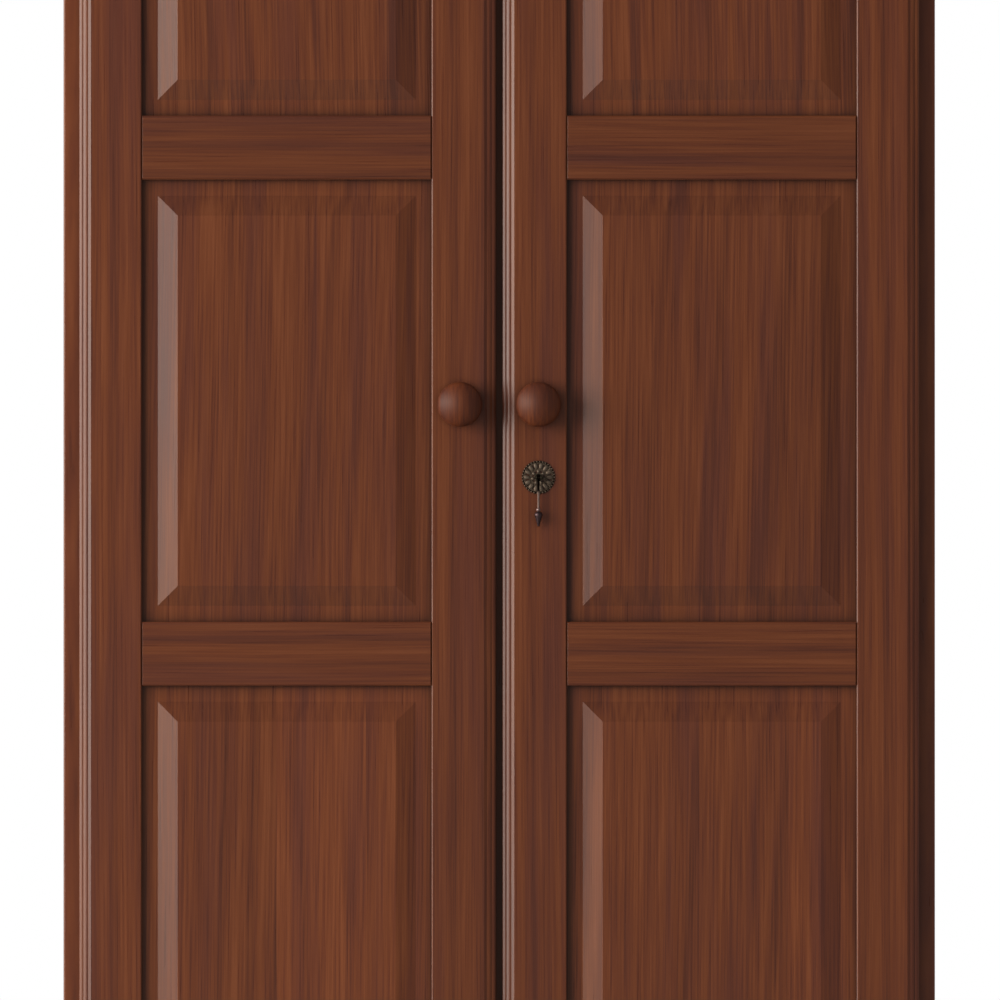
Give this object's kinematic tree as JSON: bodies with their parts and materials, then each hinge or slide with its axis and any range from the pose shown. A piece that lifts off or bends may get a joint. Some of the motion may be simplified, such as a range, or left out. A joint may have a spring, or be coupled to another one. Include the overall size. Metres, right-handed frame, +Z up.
{
  "type": "two-door wardrobe",
  "caption": "Stained-wood wardrobe with raised-panel doors on pin pivots, turned knobs, a key lock, shelves and a hanging space behind a centre partition.",
  "frame": {"origin": "on the floor, at the middle of the outline seen from above, knobs included", "axes": "+Z up, -Y to the front where the doors open, +X to the right seen from the front"},
  "size_m": [0.958, 0.605, 1.85],
  "materials": {
    "door_wood": "red-brown stain, semi-gloss lacquer",
    "knob_wood": "red-brown stain, semi-gloss lacquer",
    "case_wood": "red-brown stain, semi-gloss lacquer",
    "shelf_wood": "thin stain, satin",
    "plywood": "thin stain, matt",
    "dowel_wood": "plain beech",
    "chromed_steel": "polished",
    "catch_plastic": "brown, matt",
    "antique_bronze": "cast, darkened",
    "brass": "plain, dulled",
    "zinc_steel": "zinc plated"
  },
  "bodies": {
    "carcass": {"back_panel": "plywood", "base_board": "case_wood", "cap_board": "case_wood", "carcass_dowels": "dowel_wood", "case_screws": "zinc_steel", "centre_partition": "case_wood", "cornice_front": "case_wood", "cornice_left": "case_wood", "cornice_right": "case_wood", "door_catches": "catch_plastic", "hanging_rail": "chromed_steel", "hat_shelf": "shelf_wood", "left_shelf_lower": "shelf_wood", "left_shelf_middle": "shelf_wood", "left_shelf_upper": "shelf_wood", "left_side": "case_wood", "lock_keeper": "brass", "pivot_bushes": "brass", "plinth_back": "case_wood", "plinth_front": "case_wood", "plinth_left": "case_wood", "plinth_right": "case_wood", "rail_flanges": "chromed_steel", "right_side": "case_wood", "shelf_pins": "zinc_steel", "top_board": "case_wood"},
    "left_door": {"left_hinge_stile": "door_wood", "left_meeting_stile": "door_wood", "left_bottom_rail": "door_wood", "left_lower_rail": "door_wood", "left_upper_rail": "door_wood", "left_top_rail": "door_wood", "left_bottom_panel": "door_wood", "left_middle_panel": "door_wood", "left_top_panel": "door_wood", "left_knob": "knob_wood", "left_knob_screw": "zinc_steel", "left_pivot_plates": "brass", "left_catch_plate": "zinc_steel", "left_door_screws": "zinc_steel"},
    "right_door": {"right_hinge_stile": "door_wood", "right_meeting_stile": "door_wood", "right_bottom_rail": "door_wood", "right_lower_rail": "door_wood", "right_upper_rail": "door_wood", "right_top_rail": "door_wood", "right_bottom_panel": "door_wood", "right_middle_panel": "door_wood", "right_top_panel": "door_wood", "right_knob": "knob_wood", "right_knob_screw": "zinc_steel", "right_pivot_plates": "brass", "right_catch_plate": "zinc_steel", "right_door_screws": "zinc_steel", "lock_case": "zinc_steel", "lock_rosette": "antique_bronze"},
    "key": {"key": "antique_bronze", "key_drop_pin": "antique_bronze"},
    "key_drop": {"key_drop": "antique_bronze"},
    "lock_bolt": {"lock_bolt": "brass"}
  },
  "joints": [
    {"name": "left_door_swing", "type": "hinge", "parent": "carcass", "child": "left_door", "pos_m": [-0.427, -0.2545, 0.118], "axis": [0, 0, -1], "range_deg": [0, 120]},
    {"name": "right_door_swing", "type": "hinge", "parent": "carcass", "child": "right_door", "pos_m": [0.427, -0.2545, 0.118], "axis": [0, 0, 1], "range_deg": [0, 120]},
    {"name": "key_turn", "type": "hinge", "parent": "right_door", "child": "key", "pos_m": [0.0405, -0.2665, 0.855], "axis": [0, 1, 0], "range_deg": [0, 90]},
    {"name": "lock_bolt_throw", "type": "slide", "parent": "right_door", "child": "lock_bolt", "axis": [-1, 0, 0], "range_m": [0, 0.0105]},
    {"name": "key_drop_swing", "type": "hinge", "parent": "key", "child": "key_drop", "pos_m": [0.0405, -0.2745, 0.855], "axis": [-1, 0, 0], "range_deg": [0, 90]}
  ],
  "couplings": [
    {"joint": "lock_bolt_throw", "follows": "key_turn", "m_per_rad": 0.00668}
  ]
}
